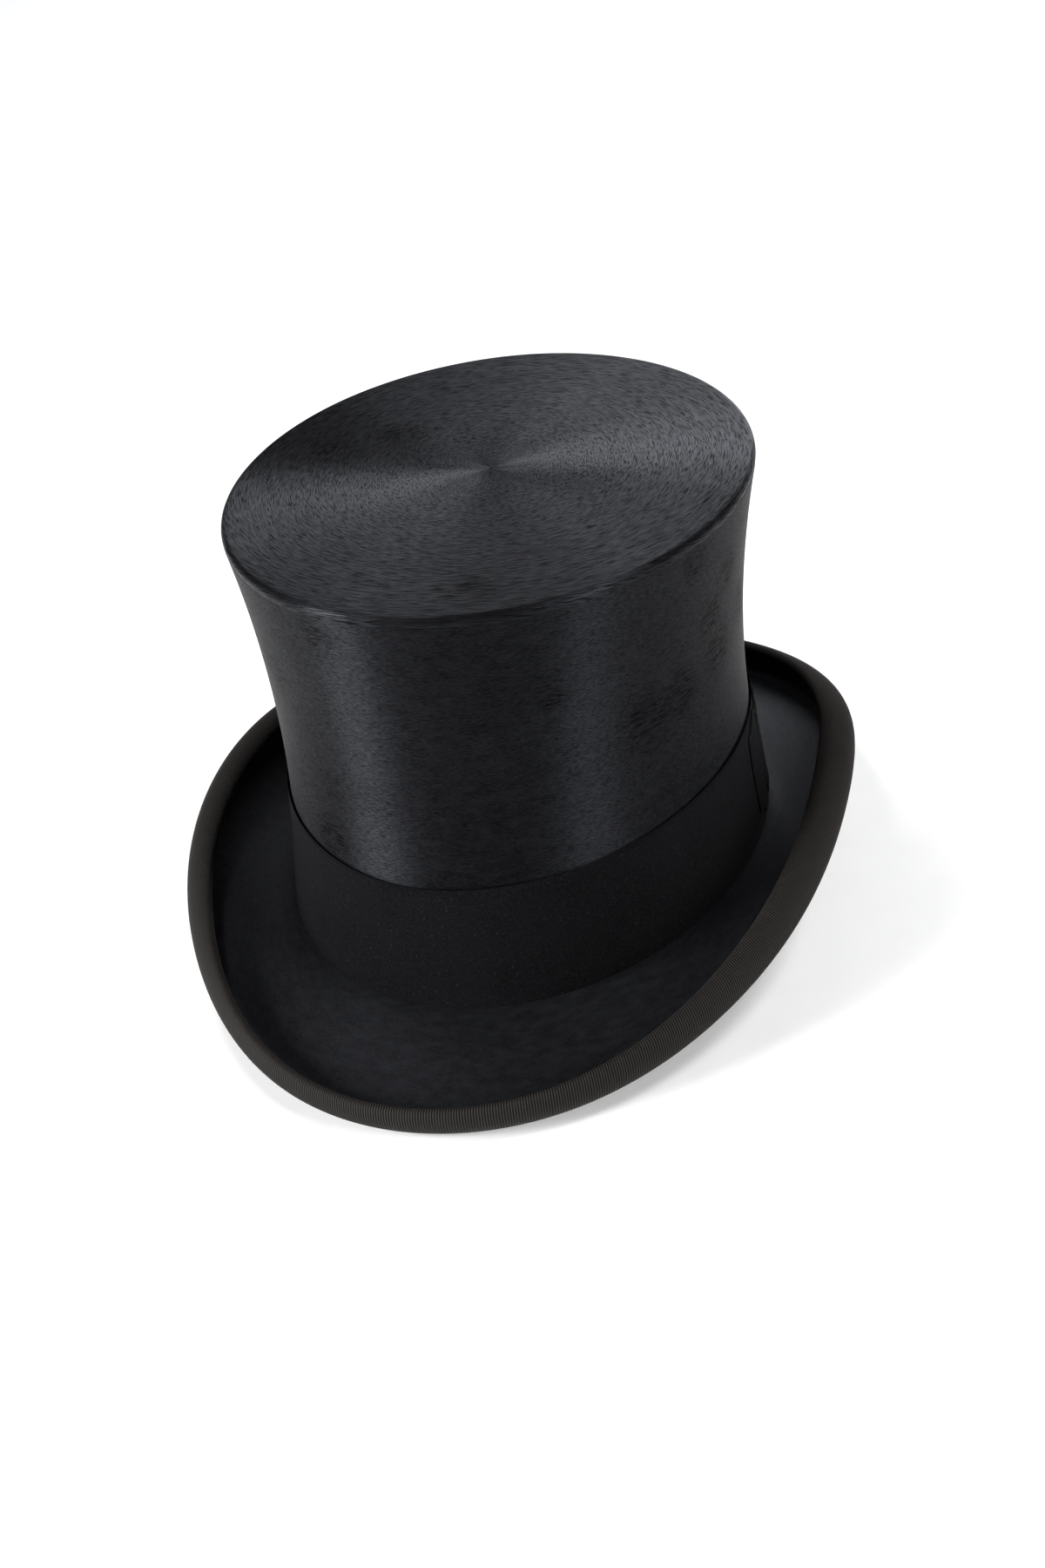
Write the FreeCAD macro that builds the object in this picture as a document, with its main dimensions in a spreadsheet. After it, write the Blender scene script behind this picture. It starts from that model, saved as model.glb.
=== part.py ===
import FreeCAD, Part
import math
import os
import Sketcher
from FreeCAD import Placement, Rotation, Vector

# A stiff silk-plush top hat.  +Z runs up the crown, the front of the hat looks along -Y and the
# wearer's left is +X.  The origin is under the crown's axis, on the plane that the dips at the
# front and back of the brim rest on.  Inside this file heights are counted from the crown's seat,
# which is the mean height of the line where the crown meets the brim.

# Driving dimensions in millimetres, and angles in degrees.
SIZES = {
    # outline of the crown over the plush, as half-axes of its oval at three heights
    "base_half_width": 83.3,
    "base_half_length": 106.7,
    "waist_half_width": 79.9,
    "waist_half_length": 98.7,
    "tip_half_width": 89.4,
    "tip_half_length": 103.1,
    "crown_height": 141.0,
    # the seat is a saddle, high at the sides and low at the front and back
    "saddle_rise": 1.9,
    # layers of the crown, from the outside in
    "plush_thickness": 0.8,
    "shell_thickness": 1.8,
    "lining_thickness": 0.3,
    "layer_gap": 0.05,
    "tip_plush_thickness": 1.0,
    "tip_edge_radius": 2.6,
    "tip_seam_drop": 3.6,
    # hat band and the flat bow on the wearer's left
    "band_height": 42.2,
    "band_thickness": 0.9,
    "bow_length": 44.0,
    "bow_centre": 27.0,
    "bow_thickness": 1.4,
    "bow_half_height": 19.0,
    "keeper_length": 11.0,
    "keeper_thickness": 0.6,
    # sweatband, its reed and its trimmings
    "sweatband_height": 46.0,
    "sweatband_thickness": 1.1,
    "sweatband_drop": 1.5,
    "seam_tape_width": 14.0,
    "seam_tape_thickness": 0.4,
    "seam_tape_foot": 1.0,
    "seam_tape_head": 44.0,
    "seam_slit_width": 0.6,
    "reed_radius": 0.9,
    "reed_casing_radius": 1.4,
    "piping_radius": 0.7,
    "stitch_count": 114,
    "stitch_length": 2.4,
    "stitch_radius": 0.25,
    "stitch_height": 2.2,
    "small_bow_length": 26.0,
    "small_bow_half_height": 5.0,
    "small_bow_thickness": 2.4,
    "small_bow_height": 10.0,
    # layers of the brim
    "brim_cover_thickness": 0.6,
    "ribbon_thickness": 0.5,
    "seat_width": 12.0,
    "binding_outer_width": 23.0,
    "binding_inner_width": 9.0,
    # the brim's section at five places: front, halfway to the side, side, halfway back, back
    "leave_slope_front": -6.7,
    "leave_slope_front_quarter": 4.7,
    "leave_slope_side": 13.1,
    "leave_slope_back_quarter": -5.3,
    "leave_slope_back": -20.8,
    "rise_slope_front": -26.2,
    "rise_slope_front_quarter": -16.5,
    "rise_slope_side": 46.0,
    "rise_slope_back_quarter": 9.6,
    "rise_slope_back": -16.5,
    "run_front": 44.9,
    "run_front_quarter": 33.6,
    "run_side": 38.3,
    "run_back_quarter": 35.5,
    "run_back": 46.1,
    "curl_radius_front": 8.6,
    "curl_radius_front_quarter": 8.0,
    "curl_radius_side": 7.4,
    "curl_radius_back_quarter": 8.0,
    "curl_radius_back": 8.6,
    "curl_angle_front": 119.0,
    "curl_angle_front_quarter": 171.0,
    "curl_angle_side": 231.0,
    "curl_angle_back_quarter": 197.0,
    "curl_angle_back": 155.0,
}

SECTIONS_AROUND = 48       # radial sections in a part that runs round the whole hat
PATH_STEPS = 120           # steps along one section of the brim
CURVE_POINTS = 18          # points in one smooth curve of a brim section
TURN_POINTS = 7            # points in the ribbon's turn over the edge
PATCH_SECTIONS = 13        # sections along a bow or a tape
CROWN_LEVELS = 6           # ovals in one loft of the crown
EDGE_STEPS = 5             # ovals over the tip's rounded edge
FACE_POINTS = 5            # points up a face that follows the crown's wall
STAVES = 16                # lengths that a stiff shell is stored in, so that physics keeps it hollow
STAVE_SECTIONS = 4         # sections along one of them
SPARE_WALL = 4             # extra height that a saddle-shaped edge is cut from, in mm
CUTTER_LENGTH = 400        # longer than the hat, in mm

# Shares of a bow's full height and thickness that are left at its pinched middle and ends.
BAND_BOW_PINCH = {"height": 0.72, "thickness": 0.4}
SMALL_BOW_PINCH = {"height": 0.45, "thickness": 0.5}
LOOP_START = 0.12          # how far along a half bow its loop has already begun at the middle
KEEPER_HEIGHT = 0.86       # share of the bow's height that its keeper covers
KEEPER_ROUNDING = 0.3      # share of the keeper's thickness lost at its edges

doc = FreeCAD.newDocument("TopHat")
sheet = doc.addObject("Spreadsheet::Sheet", "Sizes")


def fill_sheet():
    for row, (alias, value) in enumerate(SIZES.items(), start=1):
        sheet.set("A%d" % row, alias)
        sheet.set("B%d" % row, str(value))
        sheet.setAlias("B%d" % row, alias)
    doc.recompute()


def size(alias):
    return float(sheet.get(alias))


# ---------------------------------------------------------------- crown outline

def oval_expression(axis, level, inset):
    """Expression for a half-axis of the crown's oval at a level, inset from the plush's face."""
    part_up = "((%s) / Sizes.crown_height)" % level
    return (
        "Sizes.base_half_{0} * (1 - {1}) * (1 - 2 * {1})"
        " + Sizes.waist_half_{0} * 4 * {1} * (1 - {1})"
        " + Sizes.tip_half_{0} * {1} * (2 * {1} - 1) - ({2})"
    ).format(axis, part_up, inset)


def half_axes(height, inset):
    """The same two half-axes as numbers."""
    up = height / size("crown_height")
    axes = []
    for axis in ("width", "length"):
        base = size("base_half_" + axis) * (1 - up) * (1 - 2 * up)
        waist = size("waist_half_" + axis) * 4 * up * (1 - up)
        tip = size("tip_half_" + axis) * up * (2 * up - 1)
        axes.append(base + waist + tip - inset)
    return axes


def saddle(angle):
    return size("saddle_rise") * math.cos(2 * angle)


def seat_axes():
    """Half-axes of the oval inside the crown's shell at the seat, where the brim starts."""
    return half_axes(0, size("plush_thickness") + size("shell_thickness"))


def slant(angle):
    """Level direction square to the seat's oval, outwards."""
    half_width, half_length = seat_axes()
    return Vector(math.cos(angle) / half_width, math.sin(angle) / half_length, 0).normalize()


def seat_point(angle, outward, height):
    """A point in the plane that stands square to the seat's oval."""
    half_width, half_length = seat_axes()
    start = Vector(half_width * math.cos(angle), half_length * math.sin(angle), height)
    return start + slant(angle) * outward


def wall_point(angle, height, inset):
    """A point of that plane on the crown's wall; a negative inset lies outside the plush."""
    out = slant(angle)
    half_width, half_length = half_axes(height, inset)
    seat_width, seat_length = seat_axes()
    reach = math.hypot(half_width * out.x, half_length * out.y)
    seat_reach = math.hypot(seat_width * out.x, seat_length * out.y)
    return seat_point(angle, reach - seat_reach, height)


# ---------------------------------------------------------------- crown parts as lofts of ovals

def oval(name, level, inset):
    edge = doc.addObject("Part::Ellipse", name)
    edge.Placement = Placement(Vector(), Rotation(Vector(0, 0, 1), 90))
    edge.setExpression("Placement.Base.z", level)
    edge.setExpression("MajorRadius", oval_expression("length", level, inset))
    edge.setExpression("MinorRadius", oval_expression("width", level, inset))
    return edge


def crown_loft(name, low, high, inset):
    ovals = []
    for step in range(CROWN_LEVELS):
        level = "(%s) + ((%s) - (%s)) * %d / %d" % (low, high, low, step, CROWN_LEVELS - 1)
        ovals.append(oval("%s_oval_%d" % (name, step), level, inset))
    loft = doc.addObject("Part::Loft", name)
    loft.Sections = ovals
    loft.Solid = True
    return loft


def saddle_cylinder(name, level):
    """A long cylinder along X whose top touches the saddle that lies at this level."""
    reach = "(Sizes.base_half_length * Sizes.base_half_length / (4 * Sizes.saddle_rise) + Sizes.saddle_rise)"
    cylinder = doc.addObject("Part::Cylinder", name)
    cylinder.Placement = Placement(Vector(-CUTTER_LENGTH / 2, 0, 0), Rotation(Vector(0, 1, 0), 90))
    cylinder.Height = CUTTER_LENGTH
    cylinder.setExpression("Radius", reach)
    cylinder.setExpression("Placement.Base.z", "(%s) + Sizes.saddle_rise - %s" % (level, reach))
    return cylinder


def boolean(kind, name, base, tool):
    result = doc.addObject("Part::" + kind, name)
    result.Base = base
    result.Tool = tool
    return result


def crown_tube(name, outer_inset, inner_inset, low, high, low_saddle, high_saddle):
    """A wall that follows the crown, with saddle-shaped edges where they are asked for."""
    loft_low = "(%s) - %d" % (low, SPARE_WALL) if low_saddle else low
    loft_high = "(%s) + %d" % (high, SPARE_WALL) if high_saddle else high
    outer = crown_loft(name + "_outside", loft_low, loft_high, outer_inset)
    inner = crown_loft(name + "_inside", loft_low, loft_high, inner_inset)
    wall = boolean("Cut", name + "_wall", outer, inner)
    if low_saddle:
        wall = boolean("Cut", name + "_trimmed", wall, saddle_cylinder(name + "_foot", low))
    if high_saddle:
        wall = boolean("Common", name + "_body", wall, saddle_cylinder(name + "_head", high))
    wall.Label = name
    return wall


# ---------------------------------------------------------------- tip parts as PartDesign bodies

def origin_plane(body, role):
    return next(feature for feature in body.Origin.OriginFeatures if feature.Role == role)


def oval_sketch(body, name, level, inset):
    sketch = body.newObject("Sketcher::SketchObject", name)
    sketch.AttachmentSupport = [(origin_plane(body, "XY_Plane"), "")]
    sketch.MapMode = "FlatFace"
    sketch.setExpression("AttachmentOffset.Base.z", level)
    sketch.addGeometry(Part.Ellipse(Vector(0, 100, 0), Vector(80, 0, 0), Vector()), False)
    sketch.exposeInternalGeometry(0)
    sketch.addConstraint(Sketcher.Constraint("Coincident", 0, 3, -1, 1))
    sketch.addConstraint(Sketcher.Constraint("Vertical", 1))
    for line, axis, start in ((1, "length", 200), (2, "width", 160)):
        index = sketch.addConstraint(Sketcher.Constraint("Distance", line, start))
        sketch.setExpression("Constraints[%d]" % index, "2 * (%s)" % oval_expression(axis, level, inset))
    return sketch


def rounded_levels(seam, top, edge_radius, inset):
    """Ovals up a wall and over a quarter-round edge, as pairs of level and inset."""
    levels = [(seam, inset)]
    for step in range(EDGE_STEPS + 1):
        turn = math.pi / 2 * step / EDGE_STEPS
        level = "%s - (%s) * %.6f" % (top, edge_radius, 1 - math.sin(turn))
        levels.append((level, "%s + (%s) * %.6f" % (inset, edge_radius, 1 - math.cos(turn))))
    return levels


def stacked_loft(name, levels_and_insets):
    loft = doc.addObject("Part::Loft", name)
    loft.Sections = [oval("%s_oval_%d" % (name, number), level, inset)
                     for number, (level, inset) in enumerate(levels_and_insets)]
    loft.Solid = True
    loft.Ruled = True
    return loft


def tip_plush():
    """The plush over the tip, turned down over the rounded edge to its seam with the side."""
    seam = "Sizes.crown_height - Sizes.tip_seam_drop"
    ceiling = "Sizes.crown_height - Sizes.tip_plush_thickness"
    inner_radius = "Sizes.tip_edge_radius - Sizes.tip_plush_thickness"
    cap = stacked_loft("tip_cap", rounded_levels(seam, "Sizes.crown_height", "Sizes.tip_edge_radius", "0"))
    hollow = stacked_loft("tip_hollow",
                          rounded_levels(seam, ceiling, inner_radius, "Sizes.plush_thickness"))
    return boolean("Cut", "tip_plush", cap, hollow)


def tip_shell():
    body = doc.addObject("PartDesign::Body", "tip_shell")
    top = "Sizes.crown_height - Sizes.tip_plush_thickness"
    foot = top + " - Sizes.shell_thickness"
    rim = "Sizes.plush_thickness + Sizes.layer_gap"
    under = oval_sketch(body, "TipBoardFoot", foot, rim + " + Sizes.plush_thickness / 2")
    upper = oval_sketch(body, "TipBoardTop", top, rim + " + Sizes.tip_edge_radius")
    board = body.newObject("PartDesign::AdditiveLoft", "TipBoard")
    board.Profile = under
    board.Sections = [upper]
    board.Ruled = True
    doc.recompute()
    return body


def tip_lining():
    body = doc.addObject("PartDesign::Body", "tip_lining")
    ceiling = "Sizes.crown_height - Sizes.tip_plush_thickness - Sizes.shell_thickness"
    inset = "Sizes.plush_thickness + Sizes.shell_thickness + Sizes.layer_gap"
    sketch = oval_sketch(body, "TipLiningSketch", ceiling + " - Sizes.lining_thickness", inset)
    pad = body.newObject("PartDesign::Pad", "TipLiningPad")
    pad.Profile = sketch
    pad.setExpression("Length", "Sizes.lining_thickness")
    doc.recompute()
    return body


# ---------------------------------------------------------------- parts made of radial sections

def curve(points):
    """Two points make a line and more a smooth curve."""
    if len(points) == 2:
        return Part.makeLine(points[0], points[1])
    spline = Part.BSplineCurve()
    spline.interpolate(points)
    return spline.toShape()


def section_wire(curves):
    return Part.Wire([curve(points) for points in curves])


def part_feature(name, shape):
    feature = doc.addObject("Part::Feature", name)
    feature.Shape = shape
    return feature


def ring_part(name, section):
    """Loft a section, given as a function of the angle, all the way round the hat."""
    wires = []
    for step in range(SECTIONS_AROUND):
        wires.append(section_wire(section(2 * math.pi * step / SECTIONS_AROUND)))
    return part_feature(name, Part.makeLoft(wires, True, False, True))


def stave_part(name, section):
    """The same ring as separate lengths that meet face to face."""
    staves = []
    for stave in range(STAVES):
        wires = []
        for step in range(STAVE_SECTIONS):
            turn = (stave + step / (STAVE_SECTIONS - 1)) / STAVES
            wires.append(section_wire(section(2 * math.pi * turn)))
        staves.append(Part.makeLoft(wires, True, False, False))
    return part_feature(name, Part.makeCompound(staves))


def cord_rim(angle, centre, radius):
    """Two smooth half circles round a cord that runs about the hat."""
    halves = []
    for start in (0, math.pi):
        turns = [start + math.pi * step / (TURN_POINTS - 1) for step in range(TURN_POINTS)]
        halves.append([centre + slant(angle) * radius * math.cos(turn)
                       + Vector(0, 0, radius * math.sin(turn)) for turn in turns])
    return halves


def reed_section(radius):
    """Section of the reed or its casing, which hang just under the sweatband's lower edge."""
    drop = size("sweatband_drop") + size("reed_casing_radius") + 2 * size("layer_gap")
    outward = -size("reed_casing_radius") - 2 * size("layer_gap")

    def section(angle):
        return cord_rim(angle, seat_point(angle, outward, saddle(angle) - drop), radius)
    return section


def patch_part(name, centre, length, section):
    """Loft sections along a short piece of wall; spread runs from -1 to 1 along the patch."""
    half_width, half_length = half_axes(0, 0)
    speed = math.hypot(half_width * math.sin(centre), half_length * math.cos(centre))
    wires = []
    for step in range(PATCH_SECTIONS):
        spread = 2 * step / (PATCH_SECTIONS - 1) - 1
        wires.append(section_wire(section(centre + spread * length / 2 / speed, spread)))
    return part_feature(name, Part.makeLoft(wires, True, False, False))


def patch_section(angle, low, high, back, face):
    """A flat piece that lies on the crown's wall between two heights and two insets."""
    levels = [low + (high - low) * step / (FACE_POINTS - 1) for step in range(FACE_POINTS)]
    rear = [wall_point(angle, level, back) for level in levels]
    front = [wall_point(angle, level, face) for level in reversed(levels)]
    return [rear, [rear[-1], front[0]], front, [front[-1], rear[0]]]


def crown_shell_section(angle):
    """The stiff side of the crown, from the brim's seat up to the tip."""
    foot = saddle(angle) - size("brim_cover_thickness")
    roof = size("crown_height") - size("tip_plush_thickness") - size("shell_thickness")
    outside = size("plush_thickness")
    return patch_section(angle, foot, roof, outside, outside + size("shell_thickness"))


# ---------------------------------------------------------------- brim

def around(name, angle):
    """Blend a size given at front, front quarter, side, back quarter and back."""
    front, front_quarter, side, back_quarter, back = [
        size(name + place) for place in
        ("_front", "_front_quarter", "_side", "_back_quarter", "_back")]
    quarter_mean = (front_quarter + back_quarter) / 2
    quarter_swing = (back_quarter - front_quarter) / math.sqrt(2)
    end_mean = (front + back) / 2
    end_swing = (back - front) / 2
    mean = (end_mean + side + 2 * quarter_mean) / 4
    fourth = mean - quarter_mean
    second = (side - end_mean) / 2
    first = (quarter_swing + end_swing) / 2
    third = (quarter_swing - end_swing) / 2
    return (mean + first * math.sin(angle) + second * math.cos(2 * angle)
            + third * math.sin(3 * angle) + fourth * math.cos(4 * angle))


def brim_depth_total():
    return size("shell_thickness") + 2 * size("brim_cover_thickness") + 2 * size("ribbon_thickness")


class BrimSection:
    """The outer skin of the brim in one radial plane, followed from the crown to the rolled edge."""

    def __init__(self, angle):
        self.angle = angle
        self.leave = around("leave_slope", angle)
        self.rise = around("rise_slope", angle)
        self.run = around("run", angle)
        self.radius = around("curl_radius", angle)
        curl = math.radians(around("curl_angle", angle) - self.rise)
        self.length = self.run + self.radius * curl
        self.path = [(0.0, saddle(angle) - brim_depth_total() + size("ribbon_thickness"))]
        self.step = self.length / PATH_STEPS
        for number in range(PATH_STEPS):
            slope = self.slope((number + 0.5) * self.step)
            outward, up = self.path[-1]
            self.path.append((outward + self.step * math.cos(slope), up + self.step * math.sin(slope)))

    def slope(self, distance):
        """Slope in radians; the brim leaves the crown level and then takes its own slope."""
        if distance > self.run:
            return math.radians(self.rise) + (distance - self.run) / self.radius
        ease = min(1.0, distance / size("seat_width"))
        ease = ease * ease * (3 - 2 * ease)
        return math.radians(self.leave + (self.rise - self.leave) * distance / self.run) * ease

    def point(self, distance, depth):
        """A point at a depth under the skin, towards the top face of the brim."""
        number = min(int(distance / self.step), PATH_STEPS - 1)
        share = distance / self.step - number
        start, end = self.path[number], self.path[number + 1]
        slope = self.slope(distance)
        outward = start[0] + (end[0] - start[0]) * share - depth * math.sin(slope)
        up = start[1] + (end[1] - start[1]) * share + depth * math.cos(slope)
        return seat_point(self.angle, outward, up)

    def line(self, start, end, depth):
        spacing = (end - start) / (CURVE_POINTS - 1)
        return [self.point(start + spacing * number, depth) for number in range(CURVE_POINTS)]

    def edge_end(self):
        """Where the layers stop and the ribbon turns over them."""
        return self.length - brim_depth_total() / 2

    def turn(self, radius):
        """The ribbon's half-round turn over the edge, from the skin to the top face."""
        rim = self.edge_end()
        middle = brim_depth_total() / 2
        centre = self.point(rim, middle)
        ahead = (centre - self.point(rim - self.step, middle)).normalize()
        down = (self.point(rim, 0) - centre).normalize()
        points = []
        for step in range(TURN_POINTS):
            swing = math.pi * step / (TURN_POINTS - 1)
            points.append(centre + down * radius * math.cos(swing) + ahead * radius * math.sin(swing))
        return points


def brim_layer(low_depth, high_depth, start):
    def section(angle):
        brim = BrimSection(angle)
        under = brim.line(start, brim.edge_end(), low_depth)
        top = brim.line(start, brim.edge_end(), high_depth)[::-1]
        return [under, [under[-1], top[0]], top, [top[-1], under[0]]]
    return section


def binding_section(angle):
    brim = BrimSection(angle)
    total = brim_depth_total()
    ribbon = size("ribbon_thickness")
    rim = brim.edge_end()
    outer_start = brim.length - size("binding_outer_width")
    inner_start = brim.length - size("binding_inner_width")
    skin = brim.line(outer_start, rim, 0)
    top_face = brim.line(inner_start, rim, total)[::-1]
    top_back = brim.line(inner_start, rim, total - ribbon)
    skin_back = brim.line(outer_start, rim, ribbon)[::-1]
    outer_turn = brim.turn(total / 2)
    inner_turn = brim.turn(total / 2 - ribbon)[::-1]
    return [skin, outer_turn, top_face, [top_face[-1], top_back[0]],
            top_back, inner_turn, skin_back, [skin_back[-1], skin[0]]]


def brim_drop():
    """How far the lowest part of the brim dips below the seat."""
    lowest = 0
    for step in range(SECTIONS_AROUND):
        path = BrimSection(2 * math.pi * step / SECTIONS_AROUND).path
        lowest = min(lowest, min(up for outward, up in path))
    return -lowest


# ---------------------------------------------------------------- bows, tape and stitching

def loop_share(spread, pinch):
    """Share of a bow's full size at a place along it: the pinch at its middle and ends, 1 halfway out."""
    swell = math.sin(math.pi * min(abs(spread) + LOOP_START, 1.0)) ** 2
    return pinch + (1 - pinch) * swell


def band_bow_section(angle, spread):
    """Two flat loops, tallest and thickest halfway out from the keeper."""
    half_height = size("bow_half_height") * loop_share(spread, BAND_BOW_PINCH["height"])
    thickness = size("bow_thickness") * loop_share(spread, BAND_BOW_PINCH["thickness"])
    middle = size("band_height") / 2 + saddle(angle)
    back = -size("band_thickness") - size("layer_gap")
    return patch_section(angle, middle - half_height, middle + half_height, back, back - thickness)


def keeper_section(angle, spread):
    """The strip over the middle of the bow, which stands just clear of the loops."""
    half_height = size("bow_half_height") * KEEPER_HEIGHT
    middle = size("band_height") / 2 + saddle(angle)
    back = -size("band_thickness") - size("bow_thickness") - 2 * size("layer_gap")
    face = back - size("keeper_thickness") * (1 - KEEPER_ROUNDING * spread * spread)
    return patch_section(angle, middle - half_height, middle + half_height, back, face)


def sweatband_inset():
    return (size("plush_thickness") + size("shell_thickness") + size("lining_thickness")
            + size("seam_tape_thickness") + 2 * size("layer_gap"))


def seam_tape_section(angle, _spread):
    face = sweatband_inset() - size("layer_gap")
    return patch_section(angle, size("seam_tape_foot"), size("seam_tape_head"),
                         face - size("seam_tape_thickness"), face)


def small_bow_section(angle, spread):
    half_height = size("small_bow_half_height") * loop_share(spread, SMALL_BOW_PINCH["height"])
    thickness = size("small_bow_thickness") * loop_share(spread, SMALL_BOW_PINCH["thickness"])
    middle = size("small_bow_height") + saddle(angle)
    back = sweatband_inset() + size("sweatband_thickness") + size("layer_gap")
    return patch_section(angle, middle - half_height, middle + half_height, back, back + thickness)


def stitching():
    """Running stitches that hold the sweatband's lower edge, evenly spaced by the angle."""
    inset = sweatband_inset() + size("sweatband_thickness") + size("layer_gap") + size("stitch_radius")
    count = int(size("stitch_count"))
    pitch = 2 * math.pi / count
    stitches = []
    for number in range(count):
        angle = pitch * (number + 0.5)
        centre = wall_point(angle, size("stitch_height") + saddle(angle), inset)
        ahead = wall_point(angle + pitch / 2, size("stitch_height") + saddle(angle + pitch / 2), inset)
        along = (ahead - centre).normalize()
        foot = centre - along * size("stitch_length") / 2
        stitches.append(Part.makeCylinder(size("stitch_radius"), size("stitch_length"), foot, along))
    return part_feature("sweatband_stitching", Part.makeCompound(stitches))


def sweatband():
    inner = "Sizes.plush_thickness + Sizes.shell_thickness + Sizes.lining_thickness"
    outer_inset = inner + " + Sizes.seam_tape_thickness + 2 * Sizes.layer_gap"
    inner_inset = outer_inset + " + Sizes.sweatband_thickness"
    leather = crown_tube("sweatband_ring", outer_inset, inner_inset,
                         "-Sizes.sweatband_drop", "Sizes.sweatband_height", True, True)
    slit = doc.addObject("Part::Box", "sweatband_slit")
    slit.Placement = Placement(Vector(0, 0, -CUTTER_LENGTH / 2), Rotation())
    slit.Width = CUTTER_LENGTH
    slit.Height = CUTTER_LENGTH
    slit.setExpression("Length", "Sizes.seam_slit_width")
    slit.setExpression("Placement.Base.x", "-Sizes.seam_slit_width / 2")
    return boolean("Cut", "sweatband", leather, slit)


def piping_section(angle):
    """Section of the cord in the corner between the side lining and the tip lining."""
    height = (size("crown_height") - size("tip_plush_thickness") - size("shell_thickness")
              - size("lining_thickness") - size("piping_radius") - size("layer_gap"))
    inset = (size("plush_thickness") + size("shell_thickness") + size("lining_thickness")
             + size("piping_radius") + 3 * size("layer_gap"))
    return cord_rim(angle, wall_point(angle, height, inset), size("piping_radius"))


def reed_casing():
    """The oilcloth sleeve round the reed."""
    outer = ring_part("reed_casing_outside", reed_section(size("reed_casing_radius")))
    inner = ring_part("reed_casing_inside", reed_section(size("reed_radius")))
    return boolean("Cut", "reed_casing", outer, inner)


# ---------------------------------------------------------------- the whole hat

def build():
    plush = "Sizes.plush_thickness"
    wall = "Sizes.plush_thickness + Sizes.shell_thickness"
    roof = "Sizes.crown_height - Sizes.tip_plush_thickness - Sizes.shell_thickness"
    seam = "Sizes.crown_height - Sizes.tip_seam_drop"
    cover = size("brim_cover_thickness")
    ribbon = size("ribbon_thickness")
    shell_low = ribbon + cover
    shell_high = shell_low + size("shell_thickness")
    bow_angle = math.asin(size("bow_centre") / size("base_half_length"))
    back = math.pi / 2
    return {
        "side_plush": crown_tube("side_plush", "0", plush, "0", seam, True, False),
        "tip_plush": tip_plush(),
        "crown_shell": stave_part("crown_shell", crown_shell_section),
        "tip_shell": tip_shell(),
        "hat_band": crown_tube("hat_band", "-Sizes.band_thickness", "0", "0", "Sizes.band_height",
                               True, True),
        "band_bow": patch_part("band_bow", bow_angle, size("bow_length"), band_bow_section),
        "band_bow_keeper": patch_part("band_bow_keeper", bow_angle, size("keeper_length"),
                                      keeper_section),
        "brim_shell": stave_part("brim_shell", brim_layer(shell_low, shell_high, 0)),
        "brim_under_cover": ring_part("brim_under_cover", brim_layer(ribbon, shell_low, 0)),
        "brim_top_cover": ring_part("brim_top_cover",
                                    brim_layer(shell_high, shell_high + cover,
                                               size("shell_thickness"))),
        "edge_binding": ring_part("edge_binding", binding_section),
        "side_lining": crown_tube("side_lining", wall, wall + " + Sizes.lining_thickness", "0",
                                  roof + " - Sizes.lining_thickness - Sizes.layer_gap", True, False),
        "tip_lining": tip_lining(),
        "lining_piping": ring_part("lining_piping", piping_section),
        "sweatband": sweatband(),
        "sweatband_seam_tape": patch_part("sweatband_seam_tape", back, size("seam_tape_width"),
                                          seam_tape_section),
        "sweatband_reed": ring_part("sweatband_reed", reed_section(size("reed_radius"))),
        "reed_casing": reed_casing(),
        "sweatband_stitching": stitching(),
        "sweatband_bow": patch_part("sweatband_bow", back, size("small_bow_length"),
                                    small_bow_section),
    }


def place_and_check(parts):
    """Lift every part so that the brim's dips stand on z = 0, then test each one."""
    lift = Placement(Vector(0, 0, brim_drop()), Rotation())
    for name, part in parts.items():
        part.Label = name
        part.Placement = lift
    doc.recompute()
    for thing in doc.Objects:
        if "Invalid" in thing.State or "Error" in thing.State:
            raise RuntimeError("%s failed: %s" % (thing.Name, thing.State))
    for name, part in parts.items():
        if part.Shape.isNull() or not part.Shape.isValid():
            raise RuntimeError("%s has no valid shape" % name)


def export(parts):
    os.makedirs("parts", exist_ok=True)
    for name, part in parts.items():
        part.Shape.exportStep(os.path.join("parts", name + ".step"))


fill_sheet()
hat = build()
place_and_check(hat)
export(hat)
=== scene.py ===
import math

import bmesh
import bpy
import numpy as np
from mathutils import Matrix, Vector


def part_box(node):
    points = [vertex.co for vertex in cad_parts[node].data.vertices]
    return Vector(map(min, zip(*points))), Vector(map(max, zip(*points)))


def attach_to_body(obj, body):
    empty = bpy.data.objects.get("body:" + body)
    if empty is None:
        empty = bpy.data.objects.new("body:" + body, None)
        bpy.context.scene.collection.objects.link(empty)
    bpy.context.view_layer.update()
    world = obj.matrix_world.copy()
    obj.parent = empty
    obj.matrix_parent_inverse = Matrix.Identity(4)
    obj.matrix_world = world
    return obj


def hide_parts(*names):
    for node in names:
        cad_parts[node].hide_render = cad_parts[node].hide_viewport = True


# A stiff silk-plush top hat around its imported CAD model.  Shapes are worked out in millimetres
# from the crown's seat, as in the CAD, and turned into metres as each mesh is made.

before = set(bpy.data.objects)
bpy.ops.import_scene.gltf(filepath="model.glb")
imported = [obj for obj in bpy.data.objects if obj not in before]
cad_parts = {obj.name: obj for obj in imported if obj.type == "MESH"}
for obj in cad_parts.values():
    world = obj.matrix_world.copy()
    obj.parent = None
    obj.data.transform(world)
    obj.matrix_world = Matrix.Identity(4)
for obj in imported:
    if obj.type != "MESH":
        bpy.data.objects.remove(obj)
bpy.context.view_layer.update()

MM = 0.001
TURN = 2 * math.pi
UPWARD = np.array([0.0, 0.0, 1.0])

# -------------------- sizes, in millimetres and degrees

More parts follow.
